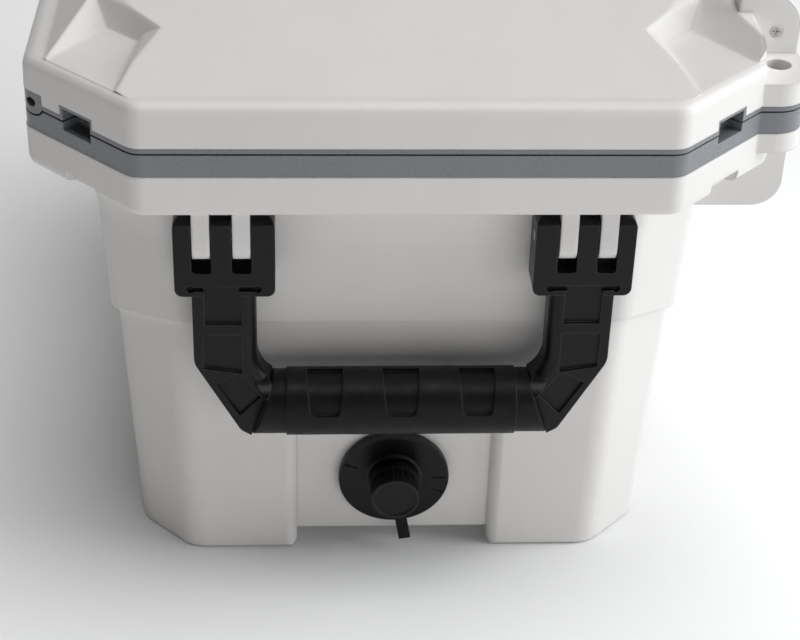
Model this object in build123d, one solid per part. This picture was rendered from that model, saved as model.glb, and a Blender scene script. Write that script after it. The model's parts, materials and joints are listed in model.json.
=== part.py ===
from build123d import *
import math
import os

os.makedirs("parts", exist_ok=True)

# ---------------------------------------------------------------- driving dimensions (mm)
# X is the long way of the chest, with the drain at the -X end.  -Y is the latch side, +Y the
# hinge side and +Z is up.  The four feet stand on Z = 0.
LENGTH = 540.0            # over the lid and the rim
WIDTH = 406.0             # over the lid and the rim, without the front ears
CORNER = 61.0             # leg of the 45 degree corner chamfer at the rim
SEAM_Z = 294.0            # top of the tub, where the lid closes
SEAM_GAP = 1.0            # visible gap under the lid
SKIN = 4.0                # wall of every moulded skin

BAND_HEIGHT = 12.5        # grey band under the seam
RIM_BOTTOM = 257.5        # underside of the overhanging rim
RING_WIDTH = 12.0         # how far the grey band and the lid trim reach inwards
WALL_TOP_INSET = 32.0     # tub wall behind the rim face, just under the rim
WALL_MID_INSET = 37.0     # just above the step in the wall
WALL_STEP = 3.5           # depth of that step
STEP_END_Z = 171.0        # lower lip of the step on the end walls
STEP_SIDE_Z = 157.0       # and on the long walls
WALL_SLOPE = 0.05         # draft of the tub wall
WALL_CORNER_RADIUS = 20.0
FOOT_HEIGHT = 11.0        # clear height under the tub between the feet
FOOT_EDGE = 4.0           # rounding of a foot's lower corners beside the recesses
FOOT_BOTTOM = 0.8         # the moulded feet end here, and the rubber pads reach Z = 0
FOOT_X, FOOT_Y = 172.0, 105.0
FOOT_PAD = (60.0, 50.0)
FOOT_PAD_RADIUS = 12.0
FOOT_PAD_HEIGHT = 3.0

CAVITY_INSET = 76.0       # inner wall behind the rim face at the seam
CAVITY_FLOOR = 32.0

TRIM_HEIGHT = 3.0         # grey trim on the lid's lower edge
LID_SIDE_TOP = 322.0      # top of the lid's upright side
LID_TOP = 338.0           # plateau of the raised middle
END_FLANK_LENGTH = 98.0   # run of the gentle slope from each end
SIDE_FLANK_WIDTH = 25.0   # run of the steeper slope from the hinge side
FRONT_FLANK = (8.0, 6.0)  # run and drop of the lid's rounded front edge
# Floor of the sunken shelf at a corner of the lid, from the end face round to the long side.
SHELF = [(280.0, 153.6), (190.0, 142.5), (172.0, 160.0), (222.0, 193.0)]
# Walls round the shelf in bands: height of the band, and each wall's angle in it.
SHELF_BANDS = [(5.0, (50.0, 64.0, 40.0)), (8.0, (30.0, 64.0, 40.0)), (13.0, (22.0, 30.0, 32.0))]

EAR_FRONT = 220.0         # front faces of ears, cheeks and keeper bosses, from the middle plane
EAR_START = 51.0          # end of an ear, behind the end face of the lid
EAR_RADIUS = 17.0
EAR_TOP = 311.0
EAR_BOTTOM = 270.0
EAR_RELIEF = 193.5        # the lid's side steps in to here above the ears
PADLOCK_RADIUS = 7.0
PADLOCK_RELIEF = 9.4      # room for the shackle below the ear
PADLOCK_X = LENGTH / 2 - 77.0
PADLOCK_Y = -206.0

LATCH_X = 145.0           # middle of each latch
LATCH_WIDTH = 38.0
BAY_WIDTH = 42.0
CHEEK = 12.0
CHEEK_TOP = 346.0
CHEEK_BACK = 184.0        # where the cheeks grow out of the lid's front
CHEEK_RADIUS = 20.0
BOSS_SIDE = 17.5          # wall of the keeper boss beside its channel
LATCH_PIVOT = (-206.0, 324.0)
LATCH_PIN_RADIUS = 4.0
LATCH_REST_DEG = 4.0      # the latches rest swung out this far from closed
BOSS_BOTTOM = 218.5

HINGE_Y = 198.4
HINGE_Z = 297.1
HINGE_ROD_RADIUS = 2.5
HINGE_BARREL_RADIUS = 6.5
HINGE_CLEARANCE = 1.0
KNUCKLES = [(-178.0, -150.0), (-66.0, -38.0), (38.0, 66.0), (150.0, 178.0)]

HANDLE_PIVOT = (LENGTH / 2 - 17.0, 238.0)     # distance from the middle, height
HANDLE_PIN_RADIUS = 3.0
BLOCK_INNER, BLOCK_OUTER = 69.5, 123.5
LUGS = [(82.5, 92.0), (104.0, 113.5)]
LUG_DROP = 4.0            # how far the lugs' round ends hang below the pins
GRIP_AXIS = (LENGTH / 2 - 16.0, 132.0)
GRIP_RADIUS = 19.3
GRIP_CORE_RADIUS = 3.5
GRIP_HOLLOWS = (-42.5, 0.0, 42.5)             # middles of the hollows along the grip
HOLLOW_HALF = (8.0, 12.6) # half widths of a hollow at its lower edge and 40 mm above it
HOLLOW_DEPTH = 2.2
HOLLOW_START = 1.5        # lower edge of the hollows above the grip's axis
ARM_POCKET_DEPTH = 2.0

DRAIN_Z = 53.0            # where the drain axis meets the flange's outer face
DRAIN_FACE = 48.0         # that face behind the rim's end face
FLANGE_RADIUS = 33.0
DRAIN_BORE = 11.0
CAP_RADIUS = 14.2
CAP_LENGTH = 20.0
CAP_RIBS = 16
PLUG_RADIUS = 8.0
GASKET_THICKNESS = 1.5
NUT_FACE = 39.0           # inner face of the liner, measured from the flange's outer face

RECESS_HALF_WIDTH = 58.0  # end recess between the feet
RECESS_DEPTH = 7.0
RECESS_TOP = 112.0
SIDE_RECESS_HALF = 122.0
RECESS_ROUND = 7.5        # rounding from a foot's face into its recess

SLOT_WIDTH = 26.0         # opener slot in each corner, over its grey frame
SLOT_DEPTH = 18.0
SLOT_TOP = 303.7
SLOT_BOTTOM = 289.5
SLOT_FRAME = 1.8
NOTCH_WIDTH = 25.0        # notch under the rim below each opener slot
NOTCH_HEIGHT = 8.0
NOTCH_DEPTH = 7.0
BAND_SLOT_DEPTH = 10.0    # how far the opener slot runs into the grey band

HALF_X = LENGTH / 2
HALF_Y = WIDTH / 2
BAND_Z = SEAM_Z - BAND_HEIGHT
LID_Z = SEAM_Z + SEAM_GAP
LID_SHELL_Z = LID_Z + TRIM_HEIGHT


# ---------------------------------------------------------------- helpers
def octagon(inset, z, radius):
    """Chamfered rectangle moved inwards by inset, with rounded corners, at height z."""
    x, y = HALF_X - inset, HALF_Y - inset
    leg = max(CORNER - inset * (2 - math.sqrt(2)), 16.0)
    corners = [(x, leg - y), (x, y - leg), (x - leg, y), (leg - x, y),
               (-x, y - leg), (-x, leg - y), (leg - x, -y), (x - leg, -y)]
    face = Polygon(*corners, align=None)
    return Pos(0, 0, z) * fillet(face.vertices(), radius)


def stack(levels, radius=12.0):
    """Solid with straight sides between octagons given as (height, inset)."""
    return loft([octagon(inset, z, radius) for z, inset in levels], ruled=True)


def block(x, y, z):
    """Box between (low, high) limits on each axis."""
    size = (x[1] - x[0], y[1] - y[0], z[1] - z[0])
    return Pos(sum(x) / 2, sum(y) / 2, sum(z) / 2) * Box(*size)


def prism_x(points, x0, x1):
    """Outline given as (y, z), pushed along X."""
    return extrude(Plane.YZ.offset(x0) * Polygon(*points, align=None), amount=x1 - x0, dir=(1, 0, 0))


def prism_y(points, y0, y1):
    """Outline given as (x, z), pushed along Y."""
    return extrude(Plane.XZ.offset(-y1) * Polygon(*points, align=None), amount=y1 - y0, dir=(0, -1, 0))


def rod_x(x0, x1, y, z, radius):
    return Pos((x0 + x1) / 2, y, z) * Rot(0, 90, 0) * Cylinder(radius, x1 - x0)


def rod_y(y0, y1, x, z, radius):
    return Pos(x, (y0 + y1) / 2, z) * Rot(90, 0, 0) * Cylinder(radius, y1 - y0)


def rod_z(z0, z1, x, y, radius):
    return Pos(x, y, (z0 + z1) / 2) * Cylinder(radius, z1 - z0)


def flip_x(solid):
    return mirror(solid, about=Plane.YZ)


def flip_y(solid):
    return mirror(solid, about=Plane.XZ)


def half_turn(solid):
    return Rot(0, 0, 180) * solid


def keep(solid):
    return Rot(0, 0, 0) * solid


def corner_box(width, z0, z1, depth, proud=6.0):
    """Four boxes square to the corner chamfers, running depth into them."""
    middle = HALF_X - CORNER / 2, HALF_Y - CORNER / 2
    one = Pos((proud - depth) / 2, 0, (z0 + z1) / 2) * Box(depth + proud, width, z1 - z0)
    placed = Pos(middle[0], middle[1], 0) * Rot(0, 0, 45) * one
    pair = placed + flip_x(placed)
    return pair + flip_y(pair)


def ear_plate(z0, z1, front=EAR_FRONT, shrink=0.0):
    """Plate that carries an ear and runs past the latch, at both ends of the front."""
    x0 = LATCH_X - BAY_WIDTH / 2 - CHEEK + shrink
    x1 = HALF_X - EAR_START - shrink
    face = Polygon((x0, -front + shrink), (x1, -front + shrink), (x1, -185), (x0, -185), align=None)
    outer = face.vertices().sort_by(Axis.Y)[:2]
    plate = extrude(Pos(0, 0, z0) * fillet(outer, EAR_RADIUS - shrink), amount=z1 - z0, dir=(0, 0, 1))
    return plate + flip_x(plate)


def wall_inset(z):
    """Inset of the lower tub wall at height z."""
    return WALL_MID_INSET + WALL_STEP + WALL_SLOPE * (STEP_END_Z - z)


# ---------------------------------------------------------------- tub shell
def step_region(z_shift=0.0):
    """Everything above the step, which dips from the end walls to the long walls."""
    near, far = HALF_X - WALL_MID_INSET, HALF_X - CORNER - 15.0
    end_z, side_z = STEP_END_Z + z_shift, STEP_SIDE_Z + z_shift
    outline = [(-HALF_X, end_z), (-near, end_z), (-far, side_z), (far, side_z), (near, end_z),
               (HALF_X, end_z), (HALF_X, LID_TOP), (-HALF_X, LID_TOP)]
    return prism_y(outline, -HALF_Y - 30, HALF_Y + 30)


def tub_outside(grow=0.0):
    """Outer form of the tub up to the band, made smaller by grow on every wall."""
    low_z = FOOT_BOTTOM if grow == 0 else FOOT_HEIGHT + grow
    lower = [(low_z, wall_inset(0) + 1.4), (low_z + 0.6, wall_inset(0) + 0.5),
             (low_z + 1.8, wall_inset(0)), (200.0, wall_inset(200.0))]
    upper = [(STEP_SIDE_Z - 4, WALL_MID_INSET + 0.6), (222.0, WALL_MID_INSET - 3.0),
             (236.0, WALL_TOP_INSET), (RIM_BOTTOM + grow, WALL_TOP_INSET - 2.0)]
    rim = [(RIM_BOTTOM + grow, 5.5), (RIM_BOTTOM + grow + 0.9, 2.6), (RIM_BOTTOM + grow + 2.6, 0.8),
           (RIM_BOTTOM + grow + 5.5, 0.0), (BAND_Z, 0.0)]
    lower_form = stack([(z, inset + grow) for z, inset in lower], radius=WALL_CORNER_RADIUS)
    upper_form = stack([(z, inset + grow) for z, inset in upper], radius=WALL_CORNER_RADIUS)
    rim_form = stack([(z, inset + grow) for z, inset in rim])
    return lower_form + (upper_form & step_region(grow)) + rim_form


def recess_cutters(grow=0.0):
    """Hollows between the feet, on the two ends and the two long sides."""
    def window(half):
        half = half + grow
        return [(half, -1), (-half, -1), (-half, RECESS_TOP + grow), (half, RECESS_TOP + grow)]

    through = (prism_x(window(RECESS_HALF_WIDTH), -HALF_X, HALF_X)
               + prism_y(window(SIDE_RECESS_HALF), -HALF_Y, HALF_Y))
    levels = [(z, wall_inset(z) + RECESS_DEPTH + grow) for z in (-2.0, RECESS_TOP + 20.0)]
    return through - stack(levels)


def edge_rounding(face_distance, half):
    """Cutter that rounds a foot's vertical edge where the wall at face_distance meets a recess."""
    r = RECESS_ROUND
    square = Pos(r / 2 - 3, r / 2 - 0.01) * Rectangle(r + 6, r + 0.02)
    profile = square - Pos(r, r) * Circle(r)
    wall_up = Plane(origin=(-face_distance, half, 0), x_dir=(1, 0, WALL_SLOPE),
                    z_dir=(-WALL_SLOPE, 0, 1))
    return extrude(wall_up * profile, amount=RECESS_TOP, dir=tuple(wall_up.z_dir))


def recess_roundings():
    """Rounded vertical edges of all four recesses."""
    on_end = edge_rounding(HALF_X - wall_inset(0), RECESS_HALF_WIDTH)
    on_side = Rot(0, 0, -90) * edge_rounding(HALF_Y - wall_inset(0), SIDE_RECESS_HALF)
    four = on_end + on_side
    pair = four + flip_y(four)
    return pair + flip_x(pair)


def flared_window(half, height):
    """Opening between two feet, with the feet's lower corners rounded off."""
    window = Pos(0, height / 2 - 1) * Rectangle(2 * half, height + 2)
    for side in (-1, 1):
        centre_y = FOOT_BOTTOM + FOOT_EDGE / 2 - 1
        corner = Pos(side * (half + FOOT_EDGE / 2), centre_y) * Rectangle(FOOT_EDGE, FOOT_EDGE + 2)
        rounding = Pos(side * (half + FOOT_EDGE), FOOT_BOTTOM + FOOT_EDGE) * Circle(FOOT_EDGE)
        window = window + (corner - rounding)
    return window


def underside_cutters():
    """Space under the tub between the four feet."""
    end_window = Plane.YZ.offset(-HALF_X) * flared_window(RECESS_HALF_WIDTH, FOOT_HEIGHT)
    side_window = Plane.XZ.offset(-HALF_Y) * flared_window(SIDE_RECESS_HALF, FOOT_HEIGHT)
    return (extrude(end_window, amount=LENGTH, dir=(1, 0, 0))
            + extrude(side_window, amount=WIDTH, dir=(0, -1, 0)))


def handle_lugs():
    """Four lugs under the rim at each end that carry the handle pins."""
    px, pz = HANDLE_PIVOT
    radius = 9.0
    wall = HALF_X - WALL_MID_INSET - 2
    lugs = []
    for y0, y1 in LUGS:
        web = prism_y([(wall, pz - radius - LUG_DROP), (px, pz - radius - LUG_DROP),
                       (px + radius, pz - LUG_DROP), (px + radius, pz),
                       (px + radius - 1.5, RIM_BOTTOM + 1), (wall, RIM_BOTTOM + 1)], y0, y1)
        lugs.append(web + rod_y(y0, y1, px, pz, radius) + rod_y(y0, y1, px, pz - LUG_DROP, radius))
    group = lugs[0] + lugs[1]
    group = group + flip_y(group)
    return group + flip_x(group)


def keeper_boss():
    """Skirt under the rim in front of each latch, with an open channel for the latch."""
    x0, x1 = LATCH_X - BAY_WIDTH / 2 - BOSS_SIDE, LATCH_X + BAY_WIDTH / 2 + BOSS_SIDE
    face = Plane.YZ.offset(x0) * Polygon((-160, BOSS_BOTTOM), (-EAR_FRONT, BOSS_BOTTOM),
                                         (-EAR_FRONT, EAR_BOTTOM + 5), (-160, EAR_BOTTOM + 5), align=None)
    outer = face.vertices().sort_by_distance((x0, -EAR_FRONT, BOSS_BOTTOM))[0]
    boss = extrude(fillet(outer, 16.0), amount=x1 - x0, dir=(1, 0, 0))
    return boss + flip_x(boss)


def latch_channels(y_back, z0, z1):
    one = block((LATCH_X - BAY_WIDTH / 2, LATCH_X + BAY_WIDTH / 2), (-EAR_FRONT - 5, y_back), (z0, z1))
    return one + flip_x(one)


def padlock_holes():
    """Holes for a padlock through the ears, with more room for the shackle below them."""
    one = (rod_z(EAR_BOTTOM, LID_TOP, PADLOCK_X, PADLOCK_Y, PADLOCK_RADIUS)
           + rod_z(BOSS_BOTTOM - 1, EAR_BOTTOM, PADLOCK_X, PADLOCK_Y, PADLOCK_RELIEF))
    return one + flip_x(one)


def hinge_groove(radius):
    return rod_x(-HALF_X, HALF_X, HINGE_Y, HINGE_Z, radius)


def drain_plane():
    """Plane on the drain flange's outer face, its normal pointing out of the chest."""
    normal = Vector(-1, 0, -WALL_SLOPE).normalized()
    return Plane(origin=(-HALF_X + DRAIN_FACE, 0, DRAIN_Z), x_dir=(0, 1, 0), z_dir=normal)


DRAIN_TILT = math.cos(math.atan(WALL_SLOPE))
DRAIN_SEAT = (wall_inset(DRAIN_Z) + RECESS_DEPTH - DRAIN_FACE) * DRAIN_TILT


def along_drain(start, end, radius):
    """Cylinder on the drain axis, from start to end outwards from the flange's outer face."""
    return drain_plane() * Pos(0, 0, (start + end) / 2) * Cylinder(radius, end - start)


rim_notches = corner_box(NOTCH_WIDTH, RIM_BOTTOM - 1, RIM_BOTTOM + NOTCH_HEIGHT, NOTCH_DEPTH)
tub_full = tub_outside() - recess_cutters() - recess_roundings() - underside_cutters() - rim_notches
tub_front = ear_plate(EAR_BOTTOM, BAND_Z) + keeper_boss()
tub_inside = tub_outside(SKIN) - recess_cutters(SKIN + 3.0)
inside_top = stack([(BAND_Z - SKIN - 1, RING_WIDTH), (SEAM_Z - SKIN, RING_WIDTH)])

cavity = stack([(CAVITY_FLOOR, CAVITY_INSET + 16), (CAVITY_FLOOR + 3, CAVITY_INSET + 12.5),
                (CAVITY_FLOOR + 10, CAVITY_INSET + 11),
                (SEAM_Z + 1, CAVITY_INSET)], radius=14)
liner_body = stack([(CAVITY_FLOOR - SKIN, CAVITY_INSET + 12 - SKIN + 4),
                    (CAVITY_FLOOR + 2, CAVITY_INSET + 11 - SKIN),
                    (SEAM_Z - SKIN, CAVITY_INSET - SKIN)], radius=14)
liner_flange = stack([(SEAM_Z - SKIN, RING_WIDTH), (SEAM_Z, RING_WIDTH)])

keeper_channel = latch_channels(-203.0, BOSS_BOTTOM - 1, LID_TOP + 10)
drain_hole = along_drain(-70, 6, DRAIN_BORE)

inside_cut = stack([(BAND_Z - SKIN, RING_WIDTH), (BAND_Z + 1, RING_WIDTH)])
tub_core = tub_inside & block((-HALF_X, HALF_X), (-HALF_Y, HALF_Y), (0, BAND_Z - SKIN))
tub_core = tub_core - corner_box(NOTCH_WIDTH + 2 * SKIN, 0, RIM_BOTTOM + NOTCH_HEIGHT + SKIN,
                                 NOTCH_DEPTH + SKIN)
tub_shell = (tub_full + tub_front) - tub_core - inside_cut + (handle_lugs() - tub_core)
tub_shell = tub_shell - keeper_channel - padlock_holes() - drain_hole
pin_bores = rod_y(BLOCK_INNER, BLOCK_OUTER, HANDLE_PIVOT[0], HANDLE_PIVOT[1], HANDLE_PIN_RADIUS)
pin_bores = pin_bores + flip_y(pin_bores)
tub_shell = tub_shell - pin_bores - flip_x(pin_bores) - along_drain(-DRAIN_SEAT, 20, FLANGE_RADIUS + 1.0)

tub_liner = (liner_body + liner_flange) - cavity - drain_hole - along_drain(-60, -NUT_FACE, 15.0)
tub_foam = (tub_core + inside_top) - liner_body - liner_flange - drain_hole

# ---------------------------------------------------------------- grey band
band = stack([(BAND_Z, 0.4), (SEAM_Z, 0.4)]) + ear_plate(BAND_Z, SEAM_Z, shrink=0.4)
band = band - stack([(BAND_Z - 1, RING_WIDTH), (SEAM_Z + 1, RING_WIDTH)])
band = band - corner_box(SLOT_WIDTH - 2 * SLOT_FRAME, SLOT_BOTTOM, SEAM_Z + 1, BAND_SLOT_DEPTH)
band = band - hinge_groove(HINGE_BARREL_RADIUS + HINGE_CLEARANCE)
band = band - latch_channels(-203.0, 0, LID_TOP) - padlock_holes()


# ---------------------------------------------------------------- lid
def raised_top(lower=0.0):
    """Middle of the lid: gentle flanks from the ends, steep flanks from the long sides."""
    foot_x, foot_y = HALF_X - 11.0 - lower, HALF_Y - 13.0 - lower
    top_z, foot_z = LID_TOP - lower, LID_SIDE_TOP - lower
    ridge_x, ridge_y = foot_x - END_FLANK_LENGTH, foot_y - SIDE_FLANK_WIDTH
    front_y, (run, drop) = EAR_RELIEF - lower, FRONT_FLANK
    ends = prism_y([(-foot_x, foot_z - 1), (foot_x, foot_z - 1), (foot_x, foot_z),
                    (ridge_x, top_z), (-ridge_x, top_z), (-foot_x, foot_z)], -HALF_Y, HALF_Y)
    sides = prism_x([(-front_y, foot_z - 1), (foot_y, foot_z - 1), (foot_y, foot_z), (ridge_y, top_z),
                     (run - front_y, top_z), (run * 0.3 - front_y, top_z - drop * 0.3),
                     (-front_y, top_z - drop)], -HALF_X, HALF_X)
    return ends & sides & stack([(foot_z - 1, 6.0 + lower), (top_z + 1, 6.0 + lower)])


def crossing(first, second):
    """Point where two lines cross, each given as two points."""
    (x1, y1), (x2, y2) = first
    (x3, y3), (x4, y4) = second
    dx1, dy1, dx2, dy2 = x2 - x1, y2 - y1, x4 - x3, y4 - y3
    t = ((x3 - x1) * dy2 - (y3 - y1) * dx2) / (dx1 * dy2 - dy1 * dx2)
    return x1 + t * dx1, y1 + t * dy1


def moved_line(start, end, distance):
    """Line moved sideways, to the left of its own direction."""
    dx, dy = end[0] - start[0], end[1] - start[1]
    length = math.hypot(dx, dy)
    nx, ny = -dy / length * distance, dx / length * distance
    return (start[0] + nx, start[1] + ny), (end[0] + nx, end[1] + ny)


def shelf_outline(level, offsets):
    """Outline of one corner hollow at a level above the shelf, each wall moved out by its offset."""
    first, inner, last = [moved_line(start, end, offset)
                          for start, end, offset in zip(SHELF, SHELF[1:], offsets)]
    outline = [first[0], crossing(first, inner), crossing(inner, last), last[1],
               (HALF_X + 40, HALF_Y + 40)]
    return Pos(0, 0, LID_SIDE_TOP + level) * Polygon(*outline, align=None)


def corner_pockets(grow=0.0):
    """Flat sunken shelf at each corner of the lid, with three leaning walls round it."""
    level, offsets = 0.0, [grow] * len(SHELF_BANDS)
    faces = [shelf_outline(level - grow, offsets)]
    for height, angles in SHELF_BANDS:
        level += height
        offsets = [offset + height / math.tan(math.radians(angle)) for offset, angle in zip(offsets, angles)]
        faces.append(shelf_outline(level - grow, offsets))
    one = loft(faces, ruled=True)
    pair = one + flip_x(one)
    return pair + flip_y(pair)


def lid_cheeks():
    """Upright walls either side of each latch, round at the top front."""
    cheeks = []
    for side in (-1, 1):
        x0 = LATCH_X + side * (BAY_WIDTH + CHEEK) / 2 - CHEEK / 2
        face = Plane.YZ.offset(x0) * Polygon((-CHEEK_BACK, LID_SHELL_Z), (1 - EAR_FRONT, LID_SHELL_Z),
                                             (1 - EAR_FRONT, CHEEK_TOP), (-CHEEK_BACK, CHEEK_TOP), align=None)
        outer = face.vertices().sort_by_distance((x0, -EAR_FRONT, CHEEK_TOP))[0]
        cheeks.append(extrude(fillet(outer, CHEEK_RADIUS), amount=CHEEK, dir=(1, 0, 0)))
    pair = cheeks[0] + cheeks[1]
    return pair + flip_x(pair)


def lid_slab(low, high, inset=0.0):
    """Base of the lid with a rounded upper edge."""
    return stack([(low, inset), (high - 6.0, inset + 0.5), (high - 3.2, inset + 1.2),
                  (high - 1.1, inset + 3.0), (high, inset + 6.5)])


def latch_bays():
    """Open bay in the lid's front for each latch."""
    one = block((LATCH_X - BAY_WIDTH / 2, LATCH_X + BAY_WIDTH / 2), (-EAR_FRONT - 5, -192.0),
                (LID_Z - 1, LID_TOP + 10))
    return one + flip_x(one)


def knuckle_gaps(radius):
    """Room in the lid for the hinge knuckles of the tub."""
    gaps = [rod_x(x0 - 1, x1 + 1, HINGE_Y, HINGE_Z, radius) for x0, x1 in KNUCKLES]
    gaps += [block((x0 - 1, x1 + 1), (HINGE_Y - radius, HALF_Y + 1), (LID_Z - 2, HINGE_Z))
             for x0, x1 in KNUCKLES]
    return sum(gaps, Part())


HINGE_SLOT = HINGE_BARREL_RADIUS + HINGE_CLEARANCE
slot_frames = corner_box(SLOT_WIDTH, LID_Z, SLOT_TOP, SLOT_DEPTH)
slot_mouths = corner_box(SLOT_WIDTH - 2 * SLOT_FRAME, LID_Z - 1, SLOT_TOP - SLOT_FRAME,
                         SLOT_DEPTH - SLOT_FRAME)
lug_plate = block((-HALF_X, HALF_X), (HINGE_Y - HINGE_BARREL_RADIUS, HALF_Y + 1),
                  (LID_Z, HINGE_Z + HINGE_BARREL_RADIUS))
ear_relief = block((LATCH_X + BAY_WIDTH / 2 + CHEEK, HALF_X), (-EAR_FRONT, -EAR_RELIEF),
                   (EAR_TOP, CHEEK_TOP))
ear_relief = ear_relief + flip_x(ear_relief)
lid_outside = (lid_slab(LID_SHELL_Z, LID_SIDE_TOP) + raised_top() - corner_pockets() - ear_relief
               + ear_plate(LID_SHELL_Z, EAR_TOP) + lid_cheeks()) - latch_bays()
lid_inside = (lid_slab(LID_SHELL_Z - 1, LID_SIDE_TOP - SKIN, SKIN) + raised_top(SKIN)
              - corner_pockets(SKIN))
lid_inside = lid_inside - block((-HALF_X, HALF_X), (-HALF_Y, -192.0 + SKIN), (0, LID_TOP))
lid_inside = lid_inside - lug_plate - corner_box(SLOT_WIDTH + 4, 0, SLOT_TOP + 3, SLOT_DEPTH + 3)
lid_shell = lid_outside - lid_inside - slot_frames - lug_plate - padlock_holes()

trim = stack([(LID_Z, 0.4), (LID_SHELL_Z, 0.4)]) + ear_plate(LID_Z, LID_SHELL_Z, shrink=0.4)
trim = trim - stack([(LID_Z - 1, RING_WIDTH), (LID_SHELL_Z + 1, RING_WIDTH)])
frame_limit = stack([(LID_Z - 1, 0.4), (SLOT_TOP + 1, 0.4)])
trim = (trim + (slot_frames & frame_limit)) - slot_mouths - latch_bays() - lug_plate
trim = trim - padlock_holes()

plug = stack([(SEAM_Z - 8, CAVITY_INSET + 7), (LID_Z, CAVITY_INSET + 5), (LID_SHELL_Z, CAVITY_INSET + 5)],
             radius=14)
liner_sheet = stack([(LID_Z, RING_WIDTH), (LID_SHELL_Z, RING_WIDTH)]) + plug
liner_sheet = liner_sheet - slot_frames - block((-HALF_X, HALF_X), (-HALF_Y, -192.0), (0, LID_TOP))
liner_sheet = liner_sheet - lug_plate
gasket_outer = stack([(SEAM_Z + 0.1, CAVITY_INSET - 12), (LID_Z + 1.6, CAVITY_INSET - 12)], radius=14)
gasket_inner = stack([(SEAM_Z, CAVITY_INSET - 5), (LID_Z + 2, CAVITY_INSET - 5)], radius=14)
lid_gasket = gasket_outer - gasket_inner
lid_liner = liner_sheet - lid_gasket
lid_foam = (lid_inside & block((-HALF_X, HALF_X), (-HALF_Y, HALF_Y), (LID_SHELL_Z, LID_TOP))) - trim

# ---------------------------------------------------------------- hinge
ROD_RECESS = 12.0         # how far the rod's ends lie inside the barrels
rod_end = HALF_X - CORNER + (HALF_Y - HINGE_Y) - ROD_RECESS
hinge_rod = rod_x(-rod_end, rod_end, HINGE_Y, HINGE_Z, HINGE_ROD_RADIUS)
rod_hole = rod_x(-HALF_X, HALF_X, HINGE_Y, HINGE_Z, HINGE_ROD_RADIUS + 0.05)
barrel_spans = [(-HALF_X, KNUCKLES[0][0] - 1), (KNUCKLES[0][1] + 1, KNUCKLES[1][0] - 1),
                (KNUCKLES[1][1] + 1, KNUCKLES[2][0] - 1), (KNUCKLES[2][1] + 1, KNUCKLES[3][0] - 1),
                (KNUCKLES[3][1] + 1, HALF_X)]
outline = stack([(BAND_Z, 0.4), (HINGE_Z + 10, 0.4)])


def hinge_barrel(x0, x1):
    """Grey barrel let into the lid's rear edge."""
    plate = block((x0, x1), (HINGE_Y - HINGE_BARREL_RADIUS, HALF_Y + 1),
                  (LID_Z, HINGE_Z + HINGE_BARREL_RADIUS))
    barrel = (plate + rod_x(x0, x1, HINGE_Y, HINGE_Z, HINGE_BARREL_RADIUS)) & outline
    return barrel - rod_hole


def hinge_knuckle(x0, x1):
    """Grey knuckle that stands on the tub and holds the rod."""
    stand = block((x0, x1), (HINGE_Y - HINGE_BARREL_RADIUS, HALF_Y), (BAND_Z, HINGE_Z))
    return (stand & outline) + rod_x(x0, x1, HINGE_Y, HINGE_Z, HINGE_BARREL_RADIUS) - hinge_rod


barrels = [hinge_barrel(x0, x1) for x0, x1 in barrel_spans]
knuckles = [hinge_knuckle(x0, x1) for x0, x1 in KNUCKLES]
for solid in knuckles:
    band = band - solid
lid_shell = lid_shell - knuckle_gaps(HINGE_SLOT)
lid_foam = lid_foam - knuckle_gaps(HINGE_SLOT + SKIN)
lid_liner = lid_liner - knuckle_gaps(HINGE_SLOT)

# ---------------------------------------------------------------- latches
pivot_y, pivot_z = LATCH_PIVOT
strap_x = (LATCH_X - LATCH_WIDTH / 2, LATCH_X + LATCH_WIDTH / 2)
neck_x = (LATCH_X - 10, LATCH_X + 10)
PIVOT_AXIS = Axis((0, pivot_y, pivot_z), (1, 0, 0))


def latch_strap():
    """Rubber strap with an eye at the top and a bulb and pull at the bottom."""
    eye = rod_x(*strap_x, pivot_y, pivot_z, 9.0)
    upper = block(strap_x, (pivot_y - 5.5, pivot_y + 2.4), (pivot_z - 26, pivot_z))
    neck = block(neck_x, (pivot_y - 5.5, pivot_y + 2.4), (238, pivot_z - 20))
    bulb = rod_x(LATCH_X - 17, LATCH_X + 17, pivot_y - 3.0, 238, 5.5)
    pull = prism_x([(pivot_y - 8, 238), (pivot_y - 11, 224), (pivot_y - 9, 220), (pivot_y - 4, 222),
                    (pivot_y + 1, 235)], LATCH_X - 17, LATCH_X + 17)
    strap = eye + upper + neck + bulb + pull
    return strap - rod_x(*strap_x, pivot_y, pivot_z, LATCH_PIN_RADIUS + 2)


def latch_bush():
    ring = rod_x(*strap_x, pivot_y, pivot_z, LATCH_PIN_RADIUS + 2)
    return ring - rod_x(*strap_x, pivot_y, pivot_z, LATCH_PIN_RADIUS + 0.05)


pin_x = (LATCH_X - BAY_WIDTH / 2 - CHEEK, LATCH_X + BAY_WIDTH / 2 + CHEEK)
latch_pin = rod_x(pin_x[0] + 2, pin_x[1] - 2, pivot_y, pivot_z, LATCH_PIN_RADIUS)
screw_head = rod_x(pin_x[0], pin_x[0] + 2, pivot_y, pivot_z, 3.4)
screw_bores = screw_head + rod_x(pin_x[1] - 2, pin_x[1], pivot_y, pivot_z, 3.4)
drive = [Pos(end, pivot_y, pivot_z) * Box(1.8, width, height)
         for end in pin_x for width, height in ((3.8, 0.9), (0.9, 3.8))]
screw_heads = screw_bores - sum(drive, Part())
lid_shell = lid_shell - latch_pin - flip_x(latch_pin) - screw_bores - flip_x(screw_bores)
lid_foam = lid_foam - latch_pin - flip_x(latch_pin)

strap = latch_strap().rotate(PIVOT_AXIS, -LATCH_REST_DEG)
bush = latch_bush()
strap = strap - rod_x(*strap_x, pivot_y, pivot_z, LATCH_PIN_RADIUS + 2)


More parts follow.
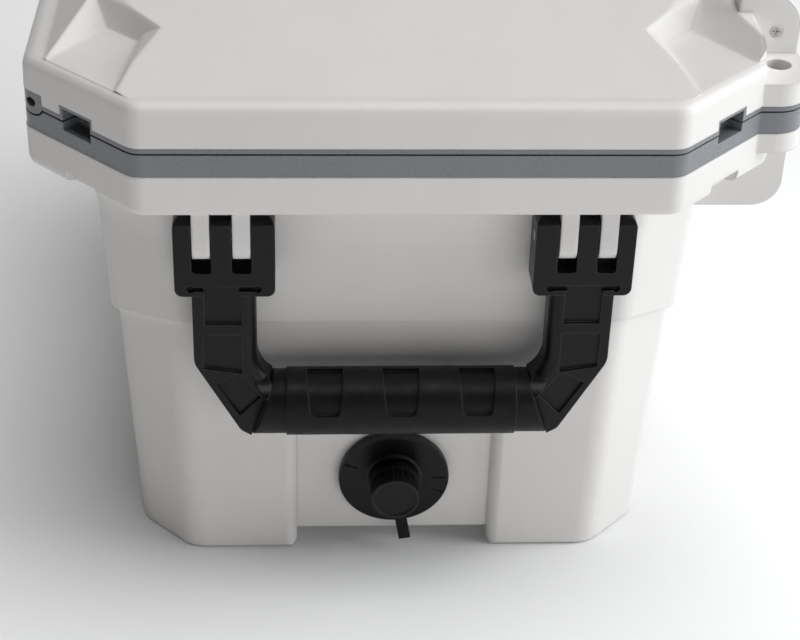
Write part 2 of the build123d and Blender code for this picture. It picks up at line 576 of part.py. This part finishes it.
def keeper():
    """Fork that the strap's bulb hooks under, screwed to the back of its channel."""
    plate = block((LATCH_X - 20, LATCH_X + 20), (-203, -200), (236, 262))
    prongs = [block((LATCH_X + x0, LATCH_X + x1), (-208, -203), (247.5, 256))
              for x0, x1 in ((-20, -11), (11, 20))]
    fork = plate + prongs[0] + prongs[1]
    return fork


def keeper_screws():
    return sum((rod_y(-203.0, -190.0, LATCH_X + dx, 241.0, 2.0) for dx in (-13, 13)), Part())


latch_keeper = keeper() - keeper_screws()
tub_shell = tub_shell - keeper() - flip_x(keeper())
tub_shell = tub_shell - keeper_screws() - flip_x(keeper_screws())
tub_foam = tub_foam - keeper_screws() - flip_x(keeper_screws())

# The foam in five plain blocks: under the liner, at its two ends and along its two long sides.
FOAM_SPLIT_X = 158.0
foam_base_z = CAVITY_FLOOR - SKIN
foam_blocks = {
    "floor": block((-HALF_X, HALF_X), (-HALF_Y, HALF_Y), (0, foam_base_z)),
    "left": block((-HALF_X, -FOAM_SPLIT_X), (-HALF_Y, HALF_Y), (foam_base_z, SEAM_Z)),
    "right": block((FOAM_SPLIT_X, HALF_X), (-HALF_Y, HALF_Y), (foam_base_z, SEAM_Z)),
    "front": block((-FOAM_SPLIT_X, FOAM_SPLIT_X), (-HALF_Y, 0), (foam_base_z, SEAM_Z)),
    "rear": block((-FOAM_SPLIT_X, FOAM_SPLIT_X), (0, HALF_Y), (foam_base_z, SEAM_Z)),
}

# ---------------------------------------------------------------- handles
gx, gz = GRIP_AXIS
ARM_FRONT, ARM_BACK = HALF_X - 10.0, HALF_X - 27.0
seam_low, seam_high = (84.0, gz - GRIP_RADIUS - 1), (69.0, gz + GRIP_RADIUS + 5)
FORK_RADIUS = 13.5
ARM_ROUND = 7.0           # rounding along the arm's inner edge
CORE_HALF = 84.0
# Outline of the bar in (y, z), down its outer side, round the heel and up the inner side.
ARM_OUTLINE = [(80.0, 210.0), (114.5, 210.0), (114.5, 161.0), (89.5, 116.0), (84.0, 112.8), (58.0, 112.8),
               (58.0, 139.4), (80.0, 153.5)]
# Corners of that outline that are rounded, and how much.
ARM_ROUNDED = [(2, 14.0), (3, 7.0), (7, 20.0)]
# Part of the elbow that stays flat, flush with the bar.
ARM_FLAT = [(130.0, 170.0), (90.0, 158.0), (76.0, 143.0), (68.0, 140.0), (68.0, 100.0), (130.0, 100.0)]
ARM_POCKETS = [
    [(88, 186), (108, 186), (108, 211), (92, 211), (88, 207)],
    [(88, 154), (109, 157.5), (109, 179.5), (88, 179.5)],
    [(90, 154), (102.5, 147), (90, 126), (78, 138.5)],
]


def seam_side(inner):
    """Half space on one side of the slanted joint between an arm and the grip."""
    far = -200.0 if inner else 200.0
    return prism_x([seam_low, seam_high, (seam_high[0] - 4, 300), (far, 300), (far, 60),
                    (seam_low[0] + 4, 60)], 100, 400)


def handle_arm():
    """One arm: a fork over the two lugs, a flat bar and a round elbow that meets the grip."""
    px, pz = HANDLE_PIVOT
    top = pz + FORK_RADIUS
    fork = extrude(Plane.YZ.offset(ARM_BACK - 2) * Polygon(
        (BLOCK_INNER, 205), (BLOCK_OUTER, 205), (BLOCK_OUTER, top), (BLOCK_INNER, top), align=None),
        amount=ARM_FRONT + 1.5 - ARM_BACK + 2, dir=(1, 0, 0))
    fork = fillet(fork.edges().filter_by(Axis.X), 4.5)
    dome = rod_y(BLOCK_INNER - 1, BLOCK_OUTER + 1, px, pz, FORK_RADIUS)
    lower = block((ARM_BACK - 5, ARM_FRONT + 5), (0, 200), (0, pz))
    fork = fork & (dome + lower)

    bend = Polygon(*ARM_OUTLINE, align=None)
    for corner, radius in ARM_ROUNDED:
        bend = fillet(bend.vertices().sort_by_distance(ARM_OUTLINE[corner])[0], radius)
    bar = extrude(Plane.YZ.offset(ARM_BACK) * bend, amount=ARM_FRONT - ARM_BACK, dir=(1, 0, 0))
    inner_edge = bar.edges().filter_by_position(Axis.X, ARM_FRONT - 0.1, ARM_FRONT + 0.1)
    inner_edge = inner_edge.filter_by_position(Axis.Y, 60, 81).filter_by_position(Axis.Z, 140, 200)
    bar = fillet(inner_edge, ARM_ROUND)
    around = extrude(Plane.YZ.offset(ARM_BACK - 12) * bend, amount=50, dir=(1, 0, 0))
    elbow = rod_y(50, 100, gx, gz, GRIP_RADIUS - 1.0) & around
    flat = prism_x(ARM_FLAT, ARM_FRONT, ARM_FRONT + 20)
    arm = (fork + bar + (elbow - flat)) & seam_side(False)

    for y0, y1 in LUGS:
        slot = block((0, 400), (y0 - 0.5, y1 + 0.5), (219, 300))
        arm = arm - fillet(slot.edges().filter_by(Axis.X).group_by(Axis.Z)[0], 2.0)
    for outline_yz in ARM_POCKETS:
        arm = arm - prism_x(outline_yz, ARM_FRONT - ARM_POCKET_DEPTH, ARM_FRONT + 5)
    groove = block((ARM_FRONT - 1.0, ARM_FRONT + 3), (79, 115), (208, 211))
    for end_y in (79, 115):
        groove = groove + rod_x(ARM_FRONT - 1.0, ARM_FRONT + 3, end_y, 209.5, 2.2)
    arm = arm - groove
    arm = arm - rod_y(60, 130, px, pz, HANDLE_PIN_RADIUS + 0.05)
    return arm - rod_y(0, CORE_HALF, gx, gz, GRIP_CORE_RADIUS)


def handle_grip():
    """Rubber sleeve with three hollows and thinner collars that meet the slanted joints."""
    sleeve = rod_y(-64, 64, gx, gz, GRIP_RADIUS) + rod_y(-86, 86, gx, gz, GRIP_RADIUS - 1.0)
    half = seam_side(True)
    sleeve = sleeve & half & flip_y(half)
    ring = rod_y(-64, 64, gx, gz, GRIP_RADIUS + 1) - rod_y(-64, 64, gx, gz, GRIP_RADIUS - HOLLOW_DEPTH)
    front = block((gx - 4, HALF_X + 30), (-70, 70), (gz, gz + 40))
    low_half, high_half = HOLLOW_HALF
    low_z, high_z = gz + HOLLOW_START, gz + 40
    for middle in GRIP_HOLLOWS:
        hollow = prism_x([(middle - high_half, high_z), (middle + high_half, high_z),
                          (middle + low_half, low_z), (middle - low_half, low_z)], gx - 4, HALF_X + 30)
        hollow = fillet(hollow.edges().filter_by(Axis.X).group_by(Axis.Z)[0], 3.5)
        sleeve = sleeve - (hollow & ring & front)
    return sleeve - rod_y(-90, 90, gx, gz, GRIP_CORE_RADIUS)


handle_core = rod_y(-CORE_HALF, CORE_HALF, gx, gz, GRIP_CORE_RADIUS)
handle_pin = rod_y(BLOCK_INNER, BLOCK_OUTER, *HANDLE_PIVOT, HANDLE_PIN_RADIUS)
arm_right = handle_arm()
grip = handle_grip()

# ---------------------------------------------------------------- drain
FLANGE_THICKNESS = DRAIN_SEAT - GASKET_THICKNESS
flange = along_drain(-FLANGE_THICKNESS, 0, FLANGE_RADIUS) + along_drain(-44, 0, DRAIN_BORE - 0.1)
flange = flange - along_drain(-60, 5, PLUG_RADIUS)
dish = drain_plane() * Pos(0, 0, -0.6) * Cone(16.5, 30, 1.2)
flange = flange - (dish - along_drain(-2, 2, 16.5))
for angle, width in ((160, 2.4), (340, 2.4), (180, 0.8)):
    groove = drain_plane() * Rot(0, 0, angle) * Pos(27, 0, 0) * Box(9, width, 2.4)
    flange = flange - groove
gasket = along_drain(-DRAIN_SEAT, -FLANGE_THICKNESS, FLANGE_RADIUS - 4)
gasket = gasket - along_drain(-9, -3, DRAIN_BORE - 0.1)
cap = along_drain(1.6, CAP_LENGTH, CAP_RADIUS) + along_drain(-26, 2, PLUG_RADIUS - 0.3)
cap = cap - along_drain(CAP_LENGTH - 0.8, CAP_LENGTH + 1, CAP_RADIUS - 1.6)
for step in range(CAP_RIBS):
    groove_at = Rot(0, 0, 360 / CAP_RIBS * step) * Pos(CAP_RADIUS + 0.6, 0, 11)
    cap = cap - drain_plane() * groove_at * Cylinder(1.2, 12)
cap_seal = along_drain(0.2, 1.4, 12.5) - along_drain(-1, 2, PLUG_RADIUS)
cap = cap - (along_drain(3.7, 7.8, CAP_RADIUS + 1) - along_drain(3, 9, CAP_RADIUS - 2.7))
tether_ring = along_drain(4.0, 7.5, CAP_RADIUS + 0.6) - along_drain(3, 9, CAP_RADIUS - 2.4)
tab = drain_plane() * Rot(0, 0, 10) * Pos(0, CAP_RADIUS + 13.5, 5.75) * Box(7.0, 29, 3.0)
tether = tether_ring + (tab - along_drain(3, 9, CAP_RADIUS))
drain_nut = along_drain(-44, -NUT_FACE, 14.5) - along_drain(-60, 5, DRAIN_BORE)
for angle in range(0, 360, 60):
    drain_nut = drain_nut - drain_plane() * Rot(0, 0, angle) * Pos(16.0, 0, -42) * Cylinder(3.5, 8)


# ---------------------------------------------------------------- feet
def foot_pads(low, high, grow):
    """Rubber pads let into the four feet."""
    size = (FOOT_PAD[0] + grow, FOOT_PAD[1] + grow)
    pad = extrude(Pos(FOOT_X, FOOT_Y, low) * RectangleRounded(*size, FOOT_PAD_RADIUS), amount=high - low)
    return {"rear_right": pad, "rear_left": flip_x(pad), "front_right": flip_y(pad),
            "front_left": half_turn(pad)}


pads = foot_pads(0.0, FOOT_PAD_HEIGHT, 0.0)
for solid in foot_pads(-1.0, FOOT_PAD_HEIGHT, 0.4).values():
    tub_shell = tub_shell - solid


parts = {
    "tub_shell": tub_shell,
    "tub_liner": tub_liner,
    "rim_band": band,
    "lid_shell": lid_shell,
    "lid_liner": lid_liner,
    "lid_foam": lid_foam,
    "lid_trim": trim,
    "lid_gasket": lid_gasket,
    "hinge_rod": hinge_rod,
    "drain_flange": flange,
    "drain_gasket": gasket,
    "drain_nut": drain_nut,
    "drain_cap": cap,
    "drain_cap_seal": cap_seal,
    "drain_tether": tether,
}
for place_name, solid in foam_blocks.items():
    parts[f"tub_foam_{place_name}"] = tub_foam & solid
for place_name, solid in pads.items():
    parts[f"foot_pad_{place_name}"] = solid
for number, solid in enumerate(barrels, 1):
    parts[f"lid_barrel_{number}"] = solid
for number, solid in enumerate(knuckles, 1):
    parts[f"tub_knuckle_{number}"] = solid
for side, place, place_front in (("left", flip_x, half_turn), ("right", keep, flip_y)):
    parts[f"latch_{side}_strap"] = place(strap)
    parts[f"latch_{side}_bush"] = place(bush)
    parts[f"latch_{side}_pin"] = place(latch_pin)
    parts[f"latch_{side}_screws"] = place(screw_heads)
    parts[f"keeper_{side}"] = place(latch_keeper)
    parts[f"keeper_{side}_screws"] = place(keeper_screws())
    parts[f"handle_{side}_arm_rear"] = place(arm_right)
    parts[f"handle_{side}_arm_front"] = place_front(arm_right)
    parts[f"handle_{side}_grip"] = place(grip)
    parts[f"handle_{side}_core"] = place(handle_core)
    parts[f"handle_{side}_pin_rear"] = place(handle_pin)
    parts[f"handle_{side}_pin_front"] = place_front(handle_pin)

# The frame's origin is under the middle of the whole footprint, latches included.
shift = -(strap.bounding_box().min.Y + HINGE_Y + HINGE_BARREL_RADIUS) / 2
for name, solid in parts.items():
    export_step(Pos(0, shift, 0) * solid, f"parts/{name}.step")
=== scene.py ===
import json
import math

import bpy
from mathutils import Matrix, Vector


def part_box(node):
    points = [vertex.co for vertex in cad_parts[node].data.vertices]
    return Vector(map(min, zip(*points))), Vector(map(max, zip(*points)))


FLOOR_SIZE = 40.0          # metres
FLOOR_GLOW = 0.03          # a little light of the floor's own
WORLD_GLOW = 0.02
COOL = (0.95, 0.975, 1.0)  # tint of the lights on the latch side
NEUTRAL = (1.0, 1.0, 1.0)
AIM = (0.0, 0.0, 0.2)      # where the lamps point, near the middle of the chest
SKY_ENERGY = 1.94
SKY_SPREAD = 0.8           # radians across, so that its shadows are soft
SKY_TILT = math.radians(6.0)

# The camera looks along the chest from the drain end, down on it and slightly turned.
VIEW_PITCH, VIEW_YAW, VIEW_ROLL = math.radians(32.06), math.radians(3.82), math.radians(1.80)
VIEW_BEHIND, VIEW_ASIDE, VIEW_ABOVE = 0.86719, 0.06036, 0.44551
FOCAL_LENGTH, SENSOR_WIDTH = 85.55, 36.0

SHELF_EDGE_ABOVE_TRIM = 0.012   # lid edges higher than this get the larger rounding
SHELF_EDGE_RADIUS = 0.0035
EDGE_BLEND = 0.002              # height over which one rounding changes to the other

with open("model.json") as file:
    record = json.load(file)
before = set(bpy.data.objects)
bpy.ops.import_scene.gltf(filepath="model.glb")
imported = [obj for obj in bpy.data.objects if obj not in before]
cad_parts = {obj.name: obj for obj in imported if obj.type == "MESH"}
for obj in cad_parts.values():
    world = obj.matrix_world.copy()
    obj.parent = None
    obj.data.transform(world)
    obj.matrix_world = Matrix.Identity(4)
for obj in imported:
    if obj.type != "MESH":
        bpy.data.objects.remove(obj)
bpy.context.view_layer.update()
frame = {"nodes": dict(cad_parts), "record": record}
nodes = frame["nodes"]


# ---------------------------------------------------------------- materials
class Tree:
    """Small helper that adds nodes to one material and links them."""

    def __init__(self, name):
        self.material = bpy.data.materials.new(name)
        self.material.use_nodes = True
        self.tree = self.material.node_tree
        self.shader = self.tree.nodes["Principled BSDF"]
        self.coords = self.tree.nodes.new("ShaderNodeTexCoord").outputs["Object"]

    def put(self, socket, value):
        """Link another node's output to the socket, or set the socket to a plain value."""
        if isinstance(value, bpy.types.NodeSocket):
            self.tree.links.new(value, socket)
        else:
            socket.default_value = value

    def add(self, kind, inputs=None, **settings):
        """New node of a kind, with its settings and its inputs."""
        node = self.tree.nodes.new(kind)
        for key, value in settings.items():
            setattr(node, key, value)
        for key, value in (inputs or {}).items():
            self.put(node.inputs[key], value)
        return node

    def noise(self, scale, detail=3.0, roughness=0.5, stretch=None):
        vector = self.coords
        if stretch:
            vector = self.add("ShaderNodeMapping", {"Vector": vector, "Scale": stretch}).outputs[0]
        inputs = {"Vector": vector, "Scale": scale, "Detail": detail, "Roughness": roughness}
        return self.add("ShaderNodeTexNoise", inputs).outputs["Fac"]

    def height(self):
        """Height in metres above the floor, taken with the part in its rest place."""
        return self.add("ShaderNodeSeparateXYZ", {"Vector": self.coords}).outputs["Z"]

    def cells(self, scale):
        inputs = {"Vector": self.coords, "Scale": scale}
        return self.add("ShaderNodeTexVoronoi", inputs).outputs["Distance"]

    def ranged(self, value, low, high, to_low=0.0, to_high=1.0):
        """Value moved from the range low..high into to_low..to_high."""
        inputs = {"Value": value, "From Min": low, "From Max": high, "To Min": to_low, "To Max": to_high}
        return self.add("ShaderNodeMapRange", inputs).outputs["Result"]

    def mixed(self, factor, first, second):
        """Color between first and second."""
        node = self.add("ShaderNodeMix", data_type="RGBA")
        for index, value in ((0, factor), (6, first), (7, second)):
            self.put(node.inputs[index], value)
        return node.outputs[2]

    def math(self, operation, first, second=0.0):
        node = self.add("ShaderNodeMath", operation=operation)
        self.put(node.inputs[0], first)
        self.put(node.inputs[1], second)
        return node.outputs[0]

    def soft_edges(self, radius):
        """Normal rounded over the sharp edges, and a mask that is bright on those edges."""
        rounded = self.add("ShaderNodeBevel", {"Radius": radius}, samples=4).outputs["Normal"]
        plain = self.add("ShaderNodeNewGeometry").outputs["Normal"]
        facing = self.add("ShaderNodeVectorMath", {0: rounded, 1: plain}, operation="DOT_PRODUCT")
        return rounded, self.ranged(facing.outputs["Value"], 0.995, 0.90)

    def bump(self, height, distance, strength, normal=None):
        inputs = {"Height": height, "Distance": distance, "Strength": strength}
        if normal is not None:
            inputs["Normal"] = normal
        return self.add("ShaderNodeBump", inputs).outputs["Normal"]

    def drive(self, **sockets):
        """Set or link the shader's own inputs, by short names."""
        names = {"color": "Base Color", "roughness": "Roughness", "normal": "Normal",
                 "metallic": "Metallic", "specular": "Specular IOR Level", "sheen": "Sheen Weight"}
        for key, value in sockets.items():
            self.put(self.shader.inputs[names[key]], value)


def grey(value, warmth=0.0):
    """Grey color, a little redder and less blue with more warmth."""
    return (value * (1 + warmth), value, value * (1 - warmth), 1.0)


def moulded(name, tones, roughness, grain, grain_height, radius, specular=0.4, soft_above=None):
    """Moulded plastic: fine pebble grain, slow drifts of tone, flow streaks and a painted highlight that
    lightens the edges in patches.

    tones are its light and dark colors and the color of the painted edge highlight. With soft_above =
    (height, radius), edges above that height are rounded by that larger radius."""
    t = Tree(name)
    light, dark, edge_highlight_color = tones
    if soft_above:
        height, upper_radius = soft_above
        radius = t.ranged(t.height(), height - EDGE_BLEND, height + EDGE_BLEND, radius, upper_radius)
    drift = t.noise(5.0, 2.0)
    streaks = t.noise(30.0, 4.0, 0.6, stretch=(1.0, 1.0, 0.25))
    specks = t.noise(420.0, 2.0)
    tone = t.math("ADD", t.math("MULTIPLY", drift, 0.6), t.math("MULTIPLY", streaks, 0.4))
    color = t.mixed(t.ranged(tone, 0.35, 0.65), dark, light)
    rounded, mask = t.soft_edges(radius)
    # painted highlight: the edges are painted lighter in patches, standing in for glints along them
    painted_edge_highlight = t.math("MULTIPLY", mask, t.ranged(t.noise(90.0, 3.0), 0.35, 0.65, 0.25, 0.8))
    color = t.mixed(painted_edge_highlight, color, edge_highlight_color)
    rough = t.ranged(t.math("ADD", t.math("MULTIPLY", specks, 0.5), t.math("MULTIPLY", streaks, 0.5)),
                     0.3, 0.7, roughness - 0.07, roughness + 0.07)
    pebble = t.math("ADD", t.cells(grain), t.math("MULTIPLY", t.noise(grain * 0.45, 4.0, 0.6), 0.8))
    wave = t.bump(t.noise(11.0, 2.0), 0.0012, 0.12, rounded)
    normal = t.bump(pebble, grain_height, 0.35, wave)
    t.drive(color=color, roughness=rough, normal=normal, specular=specular)
    return t.material


def rubber(name, tones, roughness):
    """Soft rubber: dusty bloom in patches, a slightly wavy skin and a fine matt grain."""
    t = Tree(name)
    light, dark, edge_highlight_color = tones
    bloom = t.ranged(t.noise(28.0, 5.0, 0.65), 0.42, 0.70)
    color = t.mixed(bloom, dark, light)
    rounded, mask = t.soft_edges(0.0011)
    # painted highlight: the edges are painted lighter, standing in for glints along them
    color = t.mixed(t.math("MULTIPLY", mask, 0.5), color, edge_highlight_color)
    rough = t.ranged(t.noise(160.0, 3.0), 0.3, 0.7, roughness - 0.08, roughness + 0.08)
    skin = t.bump(t.noise(60.0, 3.0), 0.0006, 0.18, rounded)
    normal = t.bump(t.noise(1700.0, 3.0, 0.6), 0.00012, 0.35, skin)
    t.drive(color=color, roughness=rough, normal=normal, specular=0.18, sheen=0.02)
    return t.material


def brushed(name, color_value, stretch):
    """Stainless steel with fine drawn lines and slight staining."""
    t = Tree(name)
    lines = t.noise(1500.0, 2.0, 0.6, stretch=stretch)
    stain = t.noise(70.0, 4.0)
    color = t.mixed(t.ranged(stain, 0.35, 0.7), grey(color_value, 0.01), grey(color_value * 0.72, 0.03))
    rough = t.ranged(lines, 0.3, 0.7, 0.2, 0.36)
    rounded, _ = t.soft_edges(0.0004)
    normal = t.bump(lines, 0.00004, 0.3, rounded)
    t.drive(color=color, roughness=rough, normal=normal, metallic=1.0)
    return t.material


def foamed(name):
    """Rigid insulating foam with small open cells."""
    t = Tree(name)
    cells = t.cells(700.0)
    color = t.mixed(t.noise(40.0, 4.0), (0.62, 0.52, 0.28, 1.0), (0.76, 0.67, 0.42, 1.0))
    normal = t.bump(cells, 0.0008, 0.8)
    t.drive(color=color, roughness=t.ranged(cells, 0.0, 0.6, 0.95, 0.8), normal=normal)
    return t.material


# Each set is light, dark and edge color; the edge color is a painted highlight on the edges, brightest
# on the black fittings.
SHELL_TONES = (grey(0.745, 0.022), grey(0.715, 0.024), grey(0.79, 0.015))
LINER_TONES = (grey(0.72, 0.006), grey(0.69, 0.006), grey(0.76, 0.004))
BAND_TONES = ((0.196, 0.204, 0.218, 1.0), (0.178, 0.185, 0.199, 1.0), (0.27, 0.276, 0.288, 1.0))
FITTING_TONES = (grey(0.0030, 0.01), grey(0.0020), grey(0.060))
RUBBER_TONES = (grey(0.0050), grey(0.0030), grey(0.030))

shelf_edge_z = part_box("lid_trim")[1].z + SHELF_EDGE_ABOVE_TRIM
WHITE = moulded("shell_white_plastic", SHELL_TONES, roughness=0.42, grain=1500.0,
                grain_height=0.00010, radius=0.0020)
LID_WHITE = moulded("lid_white_plastic", SHELL_TONES, roughness=0.42, grain=1500.0,
                    grain_height=0.00010, radius=0.0014, soft_above=(shelf_edge_z, SHELF_EDGE_RADIUS))
GREY = moulded("band_grey_plastic", BAND_TONES, roughness=0.30, grain=1700.0,
               grain_height=0.00008, radius=0.0008, specular=0.6)
BLACK = moulded("fitting_black_plastic", FITTING_TONES, roughness=0.33, grain=1300.0,
                grain_height=0.00014, radius=0.0012, specular=0.24)
LINER = moulded("liner_white_plastic", LINER_TONES, roughness=0.30, grain=1100.0,
                grain_height=0.00006, radius=0.0025)
RUBBER = rubber("rubber_black", RUBBER_TONES, roughness=0.46)
STEEL = brushed("steel_drawn", 0.62, stretch=(0.02, 1.0, 1.0))
FOAM = foamed("foam_rigid")

BY_SLOT = {"white_shell": WHITE, "grey_plastic": GREY, "black_plastic": BLACK, "black_rubber": RUBBER,
           "steel": STEEL, "foam": FOAM}
BY_NODE = {"lid_shell": LID_WHITE, "lid_liner": LINER, "tub_liner": LINER}
SLOT_OF = {part["node"]: part["material_slot"] for part in frame["record"]["subparts"]}
for name, obj in nodes.items():
    material = BY_NODE.get(name, BY_SLOT[SLOT_OF[name]])
    if not obj.data.materials:
        obj.data.materials.append(material)
    for index in range(len(obj.data.materials)):
        obj.data.materials[index] = material


# ---------------------------------------------------------------- floor, light and camera
def add_to_scene(name, data):
    obj = bpy.data.objects.new(name, data)
    bpy.context.scene.collection.objects.link(obj)
    return obj


def pale_floor():
    """Wide floor with faint drifts of tone."""
    bpy.ops.mesh.primitive_plane_add(size=FLOOR_SIZE, location=(0, 0, 0))
    floor = bpy.context.object
    floor.name = "floor"
    ground = Tree("floor_pale")
    ground.drive(color=ground.mixed(ground.noise(1.5, 3.0), grey(0.86), grey(0.90)),
                 roughness=ground.ranged(ground.noise(8.0), 0.3, 0.7, 0.75, 0.9), specular=0.1)
    ground.shader.inputs["Emission Color"].default_value = grey(1.0)
    ground.shader.inputs["Emission Strength"].default_value = FLOOR_GLOW
    floor.data.materials.append(ground.material)


def studio_world():
    world = bpy.data.worlds.new("studio")
    bpy.context.scene.world = world
    world.use_nodes = True
    background = world.node_tree.nodes["Background"]
    background.inputs["Color"].default_value = grey(1.0)
    background.inputs["Strength"].default_value = WORLD_GLOW


def sky_light():
    """Wide soft light from above, leaning a little from the latch side."""
    data = bpy.data.lights.new("light_top", "SUN")
    data.energy = SKY_ENERGY
    data.angle = SKY_SPREAD
    add_to_scene("light_top", data).rotation_euler = (SKY_TILT, 0.0, 0.0)


def area_light(name, place, size, power, color):
    data = bpy.data.lights.new(name, "AREA")
    data.color = color
    data.shape = "RECTANGLE"
    data.size, data.size_y = size
    data.energy = power
    lamp = add_to_scene(name, data)
    lamp.location = place
    lamp.rotation_euler = (Vector(AIM) - Vector(place)).to_track_quat("-Z", "Y").to_euler()


def view_turn():
    """Rotation of the camera, as a matrix with its right, up and backward directions as columns."""
    cos_y, sin_y = math.cos(VIEW_YAW), math.sin(VIEW_YAW)
    cos_p, sin_p = math.cos(VIEW_PITCH), math.sin(VIEW_PITCH)
    ahead = Vector((cos_y * cos_p, -sin_y * cos_p, -sin_p))
    right = Vector((-sin_y, -cos_y, 0.0))
    up = right.cross(ahead)
    rolled_right = math.cos(VIEW_ROLL) * right + math.sin(VIEW_ROLL) * up
    rolled_up = math.cos(VIEW_ROLL) * up - math.sin(VIEW_ROLL) * right
    return Matrix((rolled_right, rolled_up, -ahead)).transposed()


def main_camera():
    """Camera placed from the end wall, the middle of the lid and the seam."""
    lid_low, lid_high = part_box("lid_liner")
    end_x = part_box("tub_shell")[0].x
    middle_y = (lid_low.y + lid_high.y) / 2
    seam_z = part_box("rim_band")[1].z
    place = Vector((end_x - VIEW_BEHIND, middle_y + VIEW_ASIDE, seam_z + VIEW_ABOVE))
    data = bpy.data.cameras.new("camera")
    data.sensor_width = SENSOR_WIDTH
    data.sensor_fit = "HORIZONTAL"
    data.lens = FOCAL_LENGTH
    camera = add_to_scene("camera", data)
    camera.matrix_world = Matrix.Translation(place) @ view_turn().to_4x4()
    bpy.context.scene.camera = camera


pale_floor()
studio_world()
sky_light()
area_light("light_front", (-0.5, -2.1, 1.5), (1.6, 1.4), 28, COOL)
area_light("light_low", (0.0, -2.4, 0.6), (1.6, 1.0), 19, COOL)
area_light("light_end", (-2.4, -1.2, 0.5), (2.4, 0.8), 11.5, NEUTRAL)
main_camera()
bpy.context.scene.view_settings.view_transform = "Standard"
